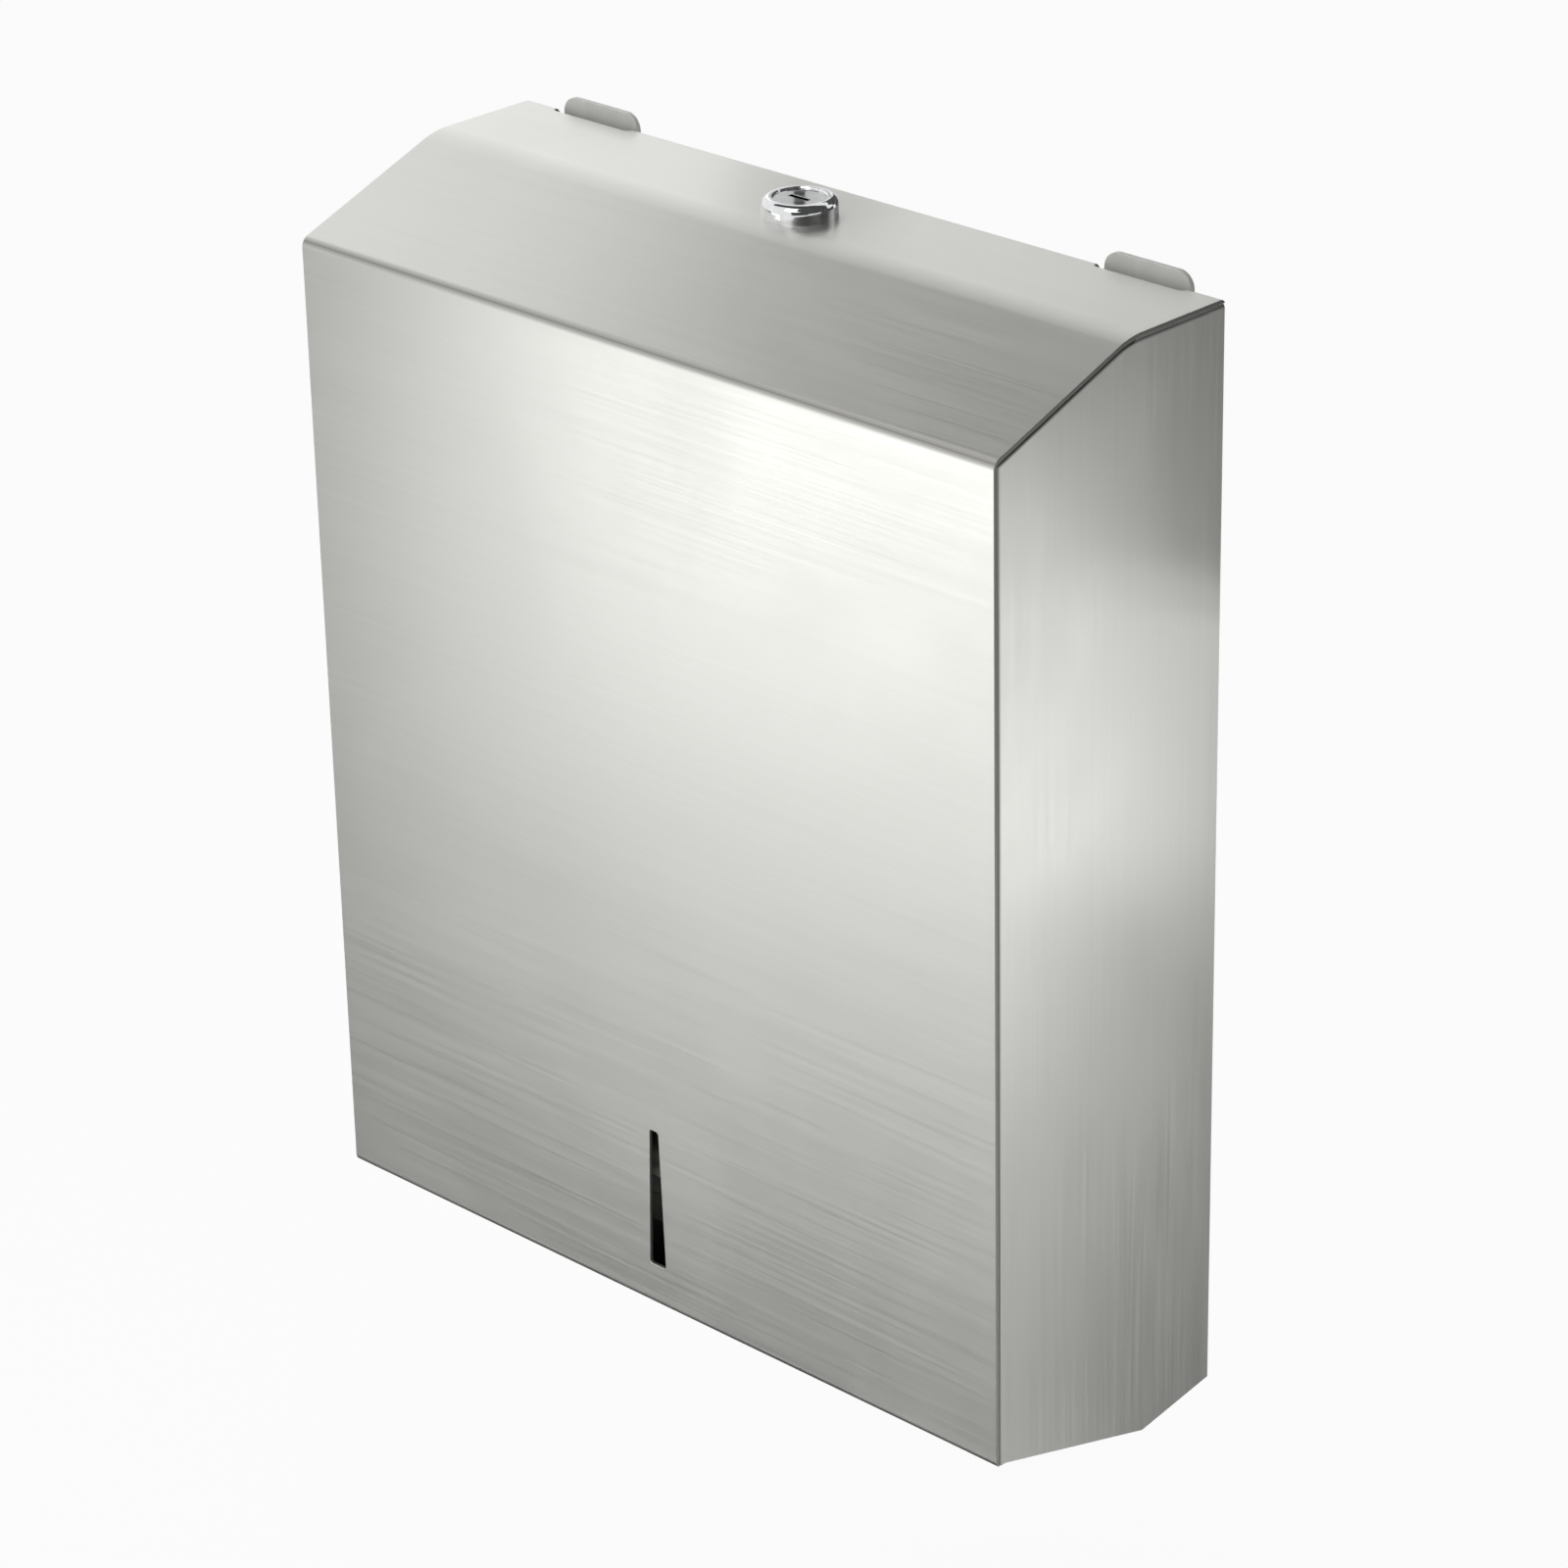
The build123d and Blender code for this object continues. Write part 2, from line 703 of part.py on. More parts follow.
with BuildPart() as cam_screw:
    with BuildSketch(Plane.XY.offset(cam_under - cam_washer_sheet)):
        with Locations((0, lock_y)):
            Circle(cam_screw_head_r)
    extrude(amount=-cam_screw_head)
    with BuildSketch(Plane.XY.offset(cam_under - cam_washer_sheet)):
        with Locations((0, lock_y)):
            Circle(cam_screw_r)
    extrude(amount=cam_screw_length)
    with BuildSketch(Plane.XY.offset(cam_under - cam_washer_sheet - cam_screw_head)):
        with Locations((0, lock_y)):
            RegularPolygon(cam_screw_socket / 2, 6, major_radius=False)
    extrude(amount=cam_screw_socket / 2, mode=Mode.SUBTRACT)
save(cam_screw.part, "cam_screw")
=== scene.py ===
import math

import bmesh
import bpy
from mathutils import Matrix, Vector


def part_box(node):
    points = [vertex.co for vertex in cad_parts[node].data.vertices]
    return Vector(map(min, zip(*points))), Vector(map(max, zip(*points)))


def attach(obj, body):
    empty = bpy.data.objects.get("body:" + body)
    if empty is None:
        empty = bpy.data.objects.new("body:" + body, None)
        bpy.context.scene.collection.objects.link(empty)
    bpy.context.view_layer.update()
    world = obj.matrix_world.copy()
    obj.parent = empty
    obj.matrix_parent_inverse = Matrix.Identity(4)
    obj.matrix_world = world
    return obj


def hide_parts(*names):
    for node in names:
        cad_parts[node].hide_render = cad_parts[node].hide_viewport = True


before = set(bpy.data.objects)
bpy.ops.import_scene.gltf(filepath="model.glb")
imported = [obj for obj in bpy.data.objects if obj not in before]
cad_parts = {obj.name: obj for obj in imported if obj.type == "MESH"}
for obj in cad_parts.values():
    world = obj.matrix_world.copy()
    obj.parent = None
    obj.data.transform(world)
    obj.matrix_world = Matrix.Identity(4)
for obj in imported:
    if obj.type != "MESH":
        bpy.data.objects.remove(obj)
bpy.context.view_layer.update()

# Wall plate
# A flat stainless sheet in plain mill finish, with two ears above and a stop flange folded out below.
# It is punched for four wall screws and carries everything that stays on the wall.


def place_node(tree, kind, values=None, **settings):
    """Add a shader node, with its own settings and the plain values of its input sockets."""
    node = tree.nodes.new(kind)
    for name, value in settings.items():
        setattr(node, name, value)
    for socket, value in (values or {}).items():
        node.inputs[socket].default_value = value
    return node


def start_group(name, inputs, outputs):
    """Make an empty shader node group with these sockets, and return it with its two end nodes."""
    group = bpy.data.node_groups.new(name, "ShaderNodeTree")
    for socket, kind in inputs.items():
        group.interface.new_socket(socket, in_out="INPUT", socket_type=kind)
    for socket, kind in outputs.items():
        group.interface.new_socket(socket, in_out="OUTPUT", socket_type=kind)
    return group, group.nodes.new("NodeGroupInput").outputs, group.nodes.new("NodeGroupOutput").inputs


def make_grain():
    """Long thin marks along X, as brushing and rolling leave them, in a fine and a coarse layer."""
    group, given, result = start_group(
        "sheet_grain",
        {"Vector": "NodeSocketVector", "Lines": "NodeSocketFloat", "Breaks": "NodeSocketFloat"},
        {"Fine": "NodeSocketFloat", "Coarse": "NodeSocketFloat"},
    )
    links = group.links
    stretch = place_node(group, "ShaderNodeCombineXYZ")
    for axis, rate in (("X", "Breaks"), ("Y", "Lines"), ("Z", "Lines")):
        links.new(given[rate], stretch.inputs[axis])
    stretched = place_node(group, "ShaderNodeVectorMath", operation="MULTIPLY")
    links.new(given["Vector"], stretched.inputs[0])
    links.new(stretch.outputs[0], stretched.inputs[1])
    for layer, scale, detail in (("Fine", 1.0, 3.0), ("Coarse", 0.1, 4.0)):
        marks = place_node(
            group, "ShaderNodeTexNoise", {"Scale": scale, "Detail": detail, "Roughness": 0.6}
        )
        links.new(stretched.outputs[0], marks.inputs["Vector"])
        links.new(marks.outputs["Fac"], result[layer])
    return group


def make_haze():
    """Soft uneven patches, as wiping, handling and plating leave them."""
    group, given, result = start_group(
        "handling_haze",
        {"Vector": "NodeSocketVector", "Patches": "NodeSocketFloat"},
        {"Haze": "NodeSocketFloat"},
    )
    links = group.links
    patches = place_node(group, "ShaderNodeTexNoise", {"Detail": 5.0, "Roughness": 0.62, "Distortion": 0.8})
    spread = place_node(
        group, "ShaderNodeMapRange", {"From Min": 0.38, "From Max": 0.68}, interpolation_type="SMOOTHSTEP"
    )
    links.new(given["Vector"], patches.inputs["Vector"])
    links.new(given["Patches"], patches.inputs["Scale"])
    links.new(patches.outputs["Fac"], spread.inputs["Value"])
    links.new(spread.outputs["Result"], result["Haze"])
    return group


def make_soft_edge():
    """Edges broken by deburring: a normal that turns round them, and a mask of the rubbed edge."""
    group, given, result = start_group(
        "soft_edge",
        {"Radius": "NodeSocketFloat"},
        {"Edge": "NodeSocketFloat", "Normal": "NodeSocketVector"},
    )
    links = group.links
    turned = place_node(group, "ShaderNodeBevel", samples=6)
    face = place_node(group, "ShaderNodeNewGeometry")
    agree = place_node(group, "ShaderNodeVectorMath", operation="DOT_PRODUCT")
    rubbed = place_node(group, "ShaderNodeMapRange", {"From Min": 0.995, "From Max": 0.80})
    links.new(given["Radius"], turned.inputs["Radius"])
    links.new(turned.outputs[0], agree.inputs[0])
    links.new(face.outputs["Normal"], agree.inputs[1])
    links.new(agree.outputs["Value"], rubbed.inputs["Value"])
    links.new(rubbed.outputs["Result"], result["Edge"])
    links.new(turned.outputs[0], result["Normal"])
    return group


grain = make_grain()
haze = make_haze()
soft_edge = make_soft_edge()


def start_material(name, metallic):
    """A new material: its node tree, its surface and the Object coordinate."""
    made = bpy.data.materials.new(name)
    made.use_nodes = True
    tree = made.node_tree
    surface = tree.nodes["Principled BSDF"].inputs
    surface["Metallic"].default_value = metallic
    where = place_node(tree, "ShaderNodeTexCoord").outputs["Object"]
    return made, tree, surface, where


def place_group(tree, group, vector=None, **values):
    """Place a node group in a material, with its own values, and return its outputs."""
    placed = place_node(tree, "ShaderNodeGroup", node_tree=group)
    for socket, value in values.items():
        placed.inputs[socket].default_value = value
    if vector is not None:
        tree.links.new(vector, placed.inputs["Vector"])
    return placed.outputs


def turned(tree, vector, turn):
    """A coordinate turned about the axes, in degrees."""
    lay = place_node(tree, "ShaderNodeMapping", {"Rotation": [math.radians(angle) for angle in turn]})
    tree.links.new(vector, lay.inputs["Vector"])
    return lay.outputs[0]


def span(tree, factor, low, high):
    """A value from low to high, by a factor from 0 to 1."""
    reach = place_node(tree, "ShaderNodeMapRange", {"To Min": low, "To Max": high})
    tree.links.new(factor, reach.inputs["Value"])
    return reach.outputs["Result"]


def total(tree, first, second):
    """The sum of two values that change over the surface."""
    added = place_node(tree, "ShaderNodeMath", operation="ADD")
    tree.links.new(first, added.inputs[0])
    tree.links.new(second, added.inputs[1])
    return added.outputs[0]


def shade(tree, factor, first, second):
    """A colour between two colours, plain or mixed before, by a factor from 0 to 1."""
    mixed = place_node(tree, "ShaderNodeMix", data_type="RGBA")
    for socket, colour in (("A", first), ("B", second)):
        if isinstance(colour, tuple):
            mixed.inputs[socket].default_value = (*colour, 1.0)
        else:
            tree.links.new(colour, mixed.inputs[socket])
    tree.links.new(factor, mixed.inputs["Factor"])
    return mixed.outputs["Result"]


def tint(tree, surface, factor, first, second):
    """Colour the surface between two colours, by a factor from 0 to 1."""
    tree.links.new(shade(tree, factor, first, second), surface["Base Color"])


def emboss(tree, surface, height, depth, normal):
    """Raise the surface by a height, over a normal that is already turned at the edges."""
    bump = place_node(tree, "ShaderNodeBump", {"Distance": depth})
    tree.links.new(height, bump.inputs["Height"])
    tree.links.new(normal, bump.inputs["Normal"])
    tree.links.new(bump.outputs["Normal"], surface["Normal"])


def mill_steel(name, turn, dullest, dark, light):
    """Cold-rolled sheet as it leaves the mill: dull, faintly lined and a little blotched."""
    made, tree, surface, where = start_material(name, metallic=1.0)
    lines = place_group(tree, grain, turned(tree, where, turn), Lines=1400.0, Breaks=12.0)
    blotch = place_group(tree, haze, where, Patches=14.0)["Haze"]
    edge = place_group(tree, soft_edge, Radius=0.00025)
    lined_tone = span(tree, lines["Coarse"], low=0.1, high=0.8)
    rubbed_tone = span(tree, edge["Edge"], low=0.0, high=0.4)
    tint(tree, surface, total(tree, lined_tone, rubbed_tone), dark, light)
    shinier = 0.16
    lined_dull = span(tree, lines["Fine"], low=dullest - shinier, high=dullest)
    blotched_dull = span(tree, blotch, low=0.0, high=0.08)
    tree.links.new(total(tree, lined_dull, blotched_dull), surface["Roughness"])
    emboss(tree, surface, lines["Fine"], depth=0.000008, normal=edge["Normal"])
    return made


def dress(material, *names):
    """Give nodes of the frame their finish."""
    for name in names:
        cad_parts[name].material_slots[0].material = material


# Its colours are lighter than the same mill sheet in the guides and tray: painted light, so the ears read
# pale.
plate_steel_painted_light = mill_steel(
    "mill_steel_plate_painted_light", turn=(0, 90, 0), dullest=0.90, dark=(0.74, 0.74, 0.72), light=(0.92, 0.92, 0.90)
)
dress(plate_steel_painted_light, "wall_plate")

# Towel guides and towel tray
# Two C channels and a drawn pan of the same mill-finish sheet, riveted together and to the wall plate.
# The stack of towels stands between the channels on the pan, and is pulled out through its throat.
guide_steel = mill_steel(
    "mill_steel_guides", turn=(90, 90, 0), dullest=0.48, dark=(0.50, 0.50, 0.49), light=(0.70, 0.70, 0.68)
)
dress(guide_steel, "left_towel_guide", "right_towel_guide")
# The tray's colours are darker than the same sheet's elsewhere: painted shade inside the cover, seen
# through the slot.
tray_steel_painted_shade = mill_steel(
    "mill_steel_tray_painted_shade", turn=(0, 0, 0), dullest=0.28, dark=(0.32, 0.32, 0.31), light=(0.48, 0.48, 0.46)
)
dress(tray_steel_painted_shade, "towel_tray")

# Strike bracket
# A Z-shaped strip of zinc-plated steel, riveted to the wall plate beside the lock.
# The lock's cam turns in behind its front lip and holds the cover shut.


def zinc_plate():
    """Bright zinc: cool grey, slightly cloudy, with a warm cast in patches."""
    made, tree, surface, where = start_material("zinc_plate", metallic=1.0)
    cloud = place_group(tree, haze, where, Patches=90.0)["Haze"]
    lines = place_group(tree, grain, where, Lines=2600.0, Breaks=160.0)
    edge = place_group(tree, soft_edge, Radius=0.00018)
    cool_grey = (0.55, 0.57, 0.61)
    warm_grey = (0.74, 0.74, 0.72)
    tint(tree, surface, cloud, cool_grey, warm_grey)
    clouded_dull = span(tree, cloud, low=0.16, high=0.28)
    lined_dull = span(tree, lines["Fine"], low=0.0, high=0.1)
    tree.links.new(total(tree, clouded_dull, lined_dull), surface["Roughness"])
    emboss(tree, surface, lines["Fine"], depth=0.000004, normal=edge["Normal"])
    return made


zinc = zinc_plate()
dress(zinc, "strike_bracket")

# Rivets
# Domed aluminium rivets that hold the guides, the tray and the strike bracket.
# Their heads are inside, and their ends are flush with the wall plate's rear.


def rivet_aluminium():
    """Plain drawn aluminium, softly dulled where the riveting tool pressed it."""
    made, tree, surface, where = start_material("rivet_aluminium", metallic=1.0)
    pressed = place_group(tree, haze, where, Patches=420.0)["Haze"]
    edge = place_group(tree, soft_edge, Radius=0.00015)
    drawn_grey = (0.66, 0.66, 0.67)
    pressed_grey = (0.84, 0.84, 0.85)
    tint(tree, surface, pressed, drawn_grey, pressed_grey)
    tree.links.new(span(tree, pressed, low=0.24, high=0.42), surface["Roughness"])
    emboss(tree, surface, pressed, depth=0.000012, normal=edge["Normal"])
    return made


dress(rivet_aluminium(), "guide_rivets", "tray_rivets", "strike_rivets")

# Closing bumpers
# Two black rubber discs stuck on the guides' front flanges.
# The cover's front closes against them without a clang.


def bumper_rubber():
    """Matt black rubber with a fine moulded skin and a little pale dust."""
    made, tree, surface, where = start_material("bumper_rubber", metallic=0.0)
    dust = place_group(tree, haze, where, Patches=260.0)["Haze"]
    edge = place_group(tree, soft_edge, Radius=0.0003)
    skin = place_node(tree, "ShaderNodeTexNoise", {"Scale": 3200.0, "Detail": 2.0})
    tree.links.new(where, skin.inputs["Vector"])
    clean_black = (0.012, 0.012, 0.012)
    dusty_black = (0.035, 0.034, 0.032)
    tint(tree, surface, dust, clean_black, dusty_black)
    tree.links.new(span(tree, skin.outputs["Fac"], low=0.62, high=0.82), surface["Roughness"])
    emboss(tree, surface, skin.outputs["Fac"], depth=0.00003, normal=edge["Normal"])
    return made


dress(bumper_rubber(), "closing_bumpers")

# Hinge bushes
# Flanged sleeves of natural nylon, pushed into the guides' ears from outside.
# The cover's studs turn in them.


def bush_nylon():
    """Natural nylon: off-white, waxy and slightly mottled."""
    made, tree, surface, where = start_material("bush_nylon", metallic=0.0)
    mottle = place_group(tree, haze, where, Patches=180.0)["Haze"]
    edge = place_group(tree, soft_edge, Radius=0.0002)
    cream = (0.74, 0.72, 0.66)
    off_white = (0.84, 0.83, 0.79)
    tint(tree, surface, mottle, cream, off_white)
    tree.links.new(span(tree, mottle, low=0.42, high=0.56), surface["Roughness"])
    emboss(tree, surface, mottle, depth=0.00001, normal=edge["Normal"])
    return made


dress(bush_nylon(), "left_hinge_bush", "right_hinge_bush")

# Cover sheet
# One sheet of stainless steel, brushed across its width: bottom lip, front, slope, top strip and rear hem.
# It is cut flat, with the viewing slot, ear notches and lock hole, and then folded.
sheet = 0.0012
front_top = 0.145
strip_front = -0.042
lip_depth = 0.012
hem_depth = 0.008
edge_fold = 0.0022
front_fold = 0.0032
strip_fold = 0.026
flap_half = 0.1219
deburr = 0.00012
sharp_edge = math.radians(50)
soft_fold = math.radians(32)
end_on = 0.9
tiny = 0.00002

shell_low, shell_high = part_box("cover_shell")
half_width = shell_high.x
front = shell_low.y
foot = shell_low.z
rear = shell_high.y
top = shell_high.z
slope = Vector((0, strip_front - front, top - front_top))
slope_normal = Vector((0, -slope.z, slope.y)).normalized()
front_turn = slope.angle(Vector((0, 0, 1)))
strip_turn = slope.angle(Vector((0, 1, 0)))


def start_piece(name, add, scale, **how):
    """Add a primitive at its size and place, settle it at the origin and open it in edit mode."""
    bpy.ops.object.select_all(action="DESELECT")
    add(**how)
    piece = bpy.context.object
    piece.name = name
    piece.data.name = name
    piece.scale = scale
    bpy.ops.object.transform_apply(location=True, rotation=True, scale=True)
    bpy.ops.object.mode_set(mode="EDIT")
    return piece


def pick(kind, test):
    """Select the corners, edges or faces in edit mode whose middle passes the test."""
    bpy.ops.mesh.select_mode(type=kind)
    bpy.ops.mesh.select_all(action="DESELECT")
    mesh = bmesh.from_edit_mesh(bpy.context.edit_object.data)
    items = {"VERT": mesh.verts, "EDGE": mesh.edges, "FACE": mesh.faces}[kind]
    for item in items:
        corners = [item] if kind == "VERT" else item.verts
        middle = sum((corner.co for corner in corners), Vector()) / len(corners)
        item.select_set(bool(test(middle)))
    mesh.select_flush_mode()
    bmesh.update_edit_mesh(bpy.context.edit_object.data)


def near(value, place):
    """Whether a coordinate lies on a place."""
    return abs(value - place) < tiny


def pull_out(*move):
    """Extrude what is selected by a move."""
    bpy.ops.mesh.extrude_region_move(TRANSFORM_OT_translate={"value": move})


def fold(radius, turn, steps):
    """Round the selected fold lines to an outside radius, for a fold that turns by this angle."""
    bpy.ops.mesh.bevel(
        offset=radius * math.tan(turn / 2), segments=steps, profile=0.5, affect="EDGES", clamp_overlap=False
    )


def finish_modifier(piece, kind, **settings):
    """Add a modifier to the piece and apply it."""
    bpy.context.view_layer.objects.active = piece
    modifier = piece.modifiers.new(kind.lower(), kind)
    for name, value in settings.items():
        setattr(modifier, name, value)
    bpy.ops.object.modifier_apply(modifier=modifier.name)


def thicken(piece):
    """Give a folded skin the sheet's thickness, inwards."""
    bpy.ops.mesh.select_all(action="SELECT")
    bpy.ops.mesh.normals_make_consistent(inside=False)
    bpy.ops.object.mode_set(mode="OBJECT")
    finish_modifier(piece, "SOLIDIFY", thickness=sheet, offset=-1.0, use_even_offset=True)


def cut_away(piece, cutter):
    """Cut the piece with a closed cutter, which is thrown away."""
    bpy.ops.object.mode_set(mode="OBJECT")
    finish_modifier(piece, "BOOLEAN", operation="DIFFERENCE", solver="EXACT", object=cutter)
    bpy.data.objects.remove(cutter)


def block(low, high):
    """A cutter from one corner to the other."""
    low, high = Vector(low), Vector(high)
    return start_piece(
        "cutter", bpy.ops.mesh.primitive_cube_add, high - low, size=1, location=(low + high) / 2
    )


def break_edges(piece):
    """Deburr the cut edges, and shade the folds smooth and the flats flat."""
    finish_modifier(
        piece, "BEVEL", width=deburr, segments=2, limit_method="ANGLE",
        angle_limit=sharp_edge, use_clamp_overlap=False,
    )
    bpy.ops.object.select_all(action="DESELECT")
    piece.select_set(True)
    bpy.ops.object.shade_smooth_by_angle(angle=soft_fold)
    finish_modifier(piece, "WEIGHTED_NORMAL", weight=100, keep_sharp=True)


def lay_grain(piece, along):
    """Write the map that the brushing follows, face by face, so no face bends its neighbour's grain."""
    grain_map = piece.data.uv_layers.new(name="grain").data
    face_shift = 0.01
    for face in piece.data.polygons:
        lay = along if abs(face.normal.dot(along)) < end_on else face.normal.orthogonal()
        across = face.normal.cross(lay)
        for corner in face.loop_indices:
            point = piece.data.vertices[piece.data.loops[corner].vertex_index].co
            grain_map[corner].uv = point.dot(lay) + face_shift * face.index, point.dot(across)


def mark_cuts_and_fold_shade(piece, test):
    """Write a face value from the test, by each face's place and normal: 1 for a cut edge, and up to 1 for
    painted shade in a fold.
    """
    cut_and_fold_shade = piece.data.attributes.new("cut_and_fold_shade", "FLOAT", "FACE")
    for face in piece.data.polygons:
        cut_and_fold_shade.data[face.index].value = test(face.center, face.normal)


def fit_new(piece, body, slot, *stood_for):
    """Let a new piece ride on its body in place of the frame's own nodes."""
    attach(piece, body)
    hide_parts(*stood_for)


def brushed_steel(name, turn):
    """Satin brushed stainless, a little uneven from wiping, with bright deburred edges, darker cut edges
    and painted shade in the folds.
    """
    made, tree, surface, where = start_material(name, metallic=1.0)
    surface["Anisotropic"].default_value = 0.7
    surface["Anisotropic Rotation"].default_value = 0.25
    follow = place_node(tree, "ShaderNodeTangent", direction_type="UV_MAP", uv_map="grain")
    tree.links.new(follow.outputs[0], surface["Tangent"])
    lines = place_group(tree, grain, turned(tree, where, turn), Lines=2600.0, Breaks=16.0)
    wiped = place_group(tree, haze, where, Patches=7.0)["Haze"]
    edge = place_group(tree, soft_edge, Radius=0.0002)
    groove_grey = (0.635, 0.635, 0.605)
    ridge_grey = (0.76, 0.76, 0.73)
    cut_and_fold_shade_grey = (0.32, 0.315, 0.30)
    fine_tone = span(tree, lines["Fine"], low=0.15, high=0.75)
    coarse_tone = span(tree, lines["Coarse"], low=-0.1, high=0.25)
    brushed = shade(tree, total(tree, fine_tone, coarse_tone), groove_grey, ridge_grey)
    # The darker grey is the cut edges' own colour, and painted shade along the front folds.
    cut_and_fold_shade = place_node(tree, "ShaderNodeAttribute", attribute_name="cut_and_fold_shade").outputs["Fac"]
    tint(tree, surface, cut_and_fold_shade, brushed, cut_and_fold_shade_grey)
    brushed_dull = span(tree, lines["Fine"], low=0.27, high=0.43)
    wiped_dull = span(tree, wiped, low=0.0, high=0.035)
    cut_and_fold_dull = span(tree, cut_and_fold_shade, low=0.0, high=0.16)
    satin = total(tree, total(tree, brushed_dull, wiped_dull), cut_and_fold_dull)
    tree.links.new(satin, surface["Roughness"])
    emboss(tree, surface, lines["Fine"], depth=0.000006, normal=edge["Normal"])
    return made


shell = start_piece(
    "cover_sheet", bpy.ops.mesh.primitive_plane_add, (2 * half_width, front_top - foot, 1),
    size=1, location=(0, front, (front_top + foot) / 2), rotation=(math.pi / 2, 0, 0),
)
pick("EDGE", lambda p: near(p.z, front_top))
pull_out(*slope)
pull_out(0, rear - strip_front, 0)
pull_out(0, 0, -hem_depth)
pick("EDGE", lambda p: near(p.z, foot))
pull_out(0, lip_depth, 0)
pick("EDGE", lambda p: near(p.y, front) and near(p.z, foot) or near(p.y, rear) and near(p.z, top))
fold(edge_fold, math.pi / 2, steps=6)
pick("EDGE", lambda p: near(p.y, front) and near(p.z, front_top))
fold(front_fold, front_turn, steps=7)
pick("EDGE", lambda p: near(p.y, strip_front) and near(p.z, top))
fold(strip_fold, strip_turn, steps=12)
thicken(shell)

# The lip and the hem stop short of the sides
for side in (-1, 1):
    ends = sorted((side * flap_half, side * (half_width + sheet)))
    cut_away(shell, block(
        (ends[0], front + sheet, foot - edge_fold), (ends[1], front + 2 * lip_depth, foot + edge_fold)))
    cut_away(shell, block(
        (ends[0], rear - edge_fold, top - 2 * hem_depth), (ends[1], rear + edge_fold, top - sheet)))

# The viewing slot narrows upwards
slot_low = foot + 0.014
slot_high = slot_low + 0.0455
slot_half = 0.0033
slot_top_half = 0.00175
slot_corner = 0.0009
viewing_slot = block((-slot_half, front - sheet, slot_low), (slot_half, front + 2 * sheet, slot_high))
pick("VERT", lambda p: near(p.z, slot_high))
bpy.ops.transform.resize(value=(slot_top_half / slot_half, 1, 1), center_override=(0, front, slot_high))
pick("EDGE", lambda p: abs(p.x) > tiny and near(p.y, front + sheet / 2))
bpy.ops.mesh.bevel(offset=slot_corner, segments=5, affect="EDGES")
cut_away(shell, viewing_slot)

# Two notches let the wall plate's ears through
ear_x = 0.1065
notch_half = 0.0162
notch_depth = 0.006
notch_corner = 0.002
for side in (-1, 1):
    notch = block(
        (side * ear_x - notch_half, -notch_depth, top - 2 * hem_depth),
        (side * ear_x + notch_half, notch_depth, top + sheet),
    )
    pick("EDGE", lambda p: near(p.y, -notch_depth) and abs(abs(p.x - side * ear_x) - notch_half) < tiny)
    bpy.ops.mesh.bevel(offset=notch_corner, segments=5, affect="EDGES")
    cut_away(shell, notch)

# The lock's hole is round with two flats
lock_y = -0.027
lock_hole_r = 0.0091
lock_hole_flat = 0.0081
lock_hole = start_piece(
    "cutter", bpy.ops.mesh.primitive_cylinder_add, (1, 1, 1),
    vertices=64, radius=lock_hole_r, depth=4 * sheet, location=(0, lock_y, top),
)
for side in (-1, 1):
    bpy.ops.mesh.select_all(action="SELECT")
    bpy.ops.mesh.bisect(
        plane_co=(0, lock_y + side * lock_hole_flat, top), plane_no=(0, side, 0),
        use_fill=True, clear_outer=True,
    )
cut_away(shell, lock_hole)

break_edges(shell)
lay_grain(shell, along=Vector((1, 0, 0)))


def shell_cuts_and_fold_shade(place, normal):
    """1 on the cut ends, and up to 1 in the middle of the front fold, as painted shade along the fold."""
    barely_forward = 0.1
    if abs(normal.x) > end_on:
        return 1.0
    if place.z < front_top - front_fold or place.y > front + front_fold or normal.y > -barely_forward:
        return 0.0
    turned_by = normal.angle(Vector((0, -1, 0))) / front_turn
    return max(0.0, 1 - abs(2 * turned_by - 1))


mark_cuts_and_fold_shade(shell, shell_cuts_and_fold_shade)
shell.data.materials.append(brushed_steel("brushed_steel_wide", turn=(0, 0, 0)))
fit_new(shell, "cover", "brushed_stainless", "cover_shell")

# Cover sides
# Brushed stainless plates with a knee below, bent in along the front, the slope and the strip.
# The bent flange is notched at the folds and spot-welded under the cover sheet.
lap = 0.0013
bend = 0.0016
level_foot = 0.003
flange = 0.012
knee_y = -0.032
side_rear_foot = -0.1715
relief_r = 0.006

side_low, side_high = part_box("right_side_plate")
side_outer = side_high.x
side_front = side_low.y
side_top = side_high.z
knee_z = side_low.z

right_side = start_piece(
    "right_cover_side", bpy.ops.mesh.primitive_plane_add, (rear - side_front, side_top - foot, 1),
    size=1, location=(side_outer, (side_front + rear) / 2, (side_top + foot) / 2),
    rotation=(math.pi / 2, 0, math.pi / 2),
)
third = (rear - side_front) / 3
pick("EDGE", lambda p: near(p.z, foot))
bpy.ops.mesh.subdivide(number_cuts=2, ngon=True)
pick("VERT", lambda p: near(p.z, foot) and near(p.y, side_front + third))
bpy.ops.transform.translate(value=(0, level_foot - third, 0))
pick("VERT", lambda p: near(p.z, foot) and near(p.y, rear - third))
bpy.ops.transform.translate(value=(0, knee_y - rear + third, knee_z - foot))
pick("VERT", lambda p: near(p.z, foot) and near(p.y, rear))
bpy.ops.transform.translate(value=(0, 0, side_rear_foot - foot))
bpy.ops.mesh.select_all(action="SELECT")
bpy.ops.mesh.bisect(
    plane_co=Vector((0, front, front_top)) - lap * slope_normal, plane_no=slope_normal, clear_outer=True
)
pick("VERT", lambda p: p.z > front_top - front_fold and near(p.y, side_front))
bpy.ops.mesh.bevel(
    offset=(front_fold - lap) * math.tan(front_turn / 2),
    segments=6, affect="VERTICES", clamp_overlap=False,
)
pick("VERT", lambda p: near(p.z, side_top) and p.y < rear - tiny)
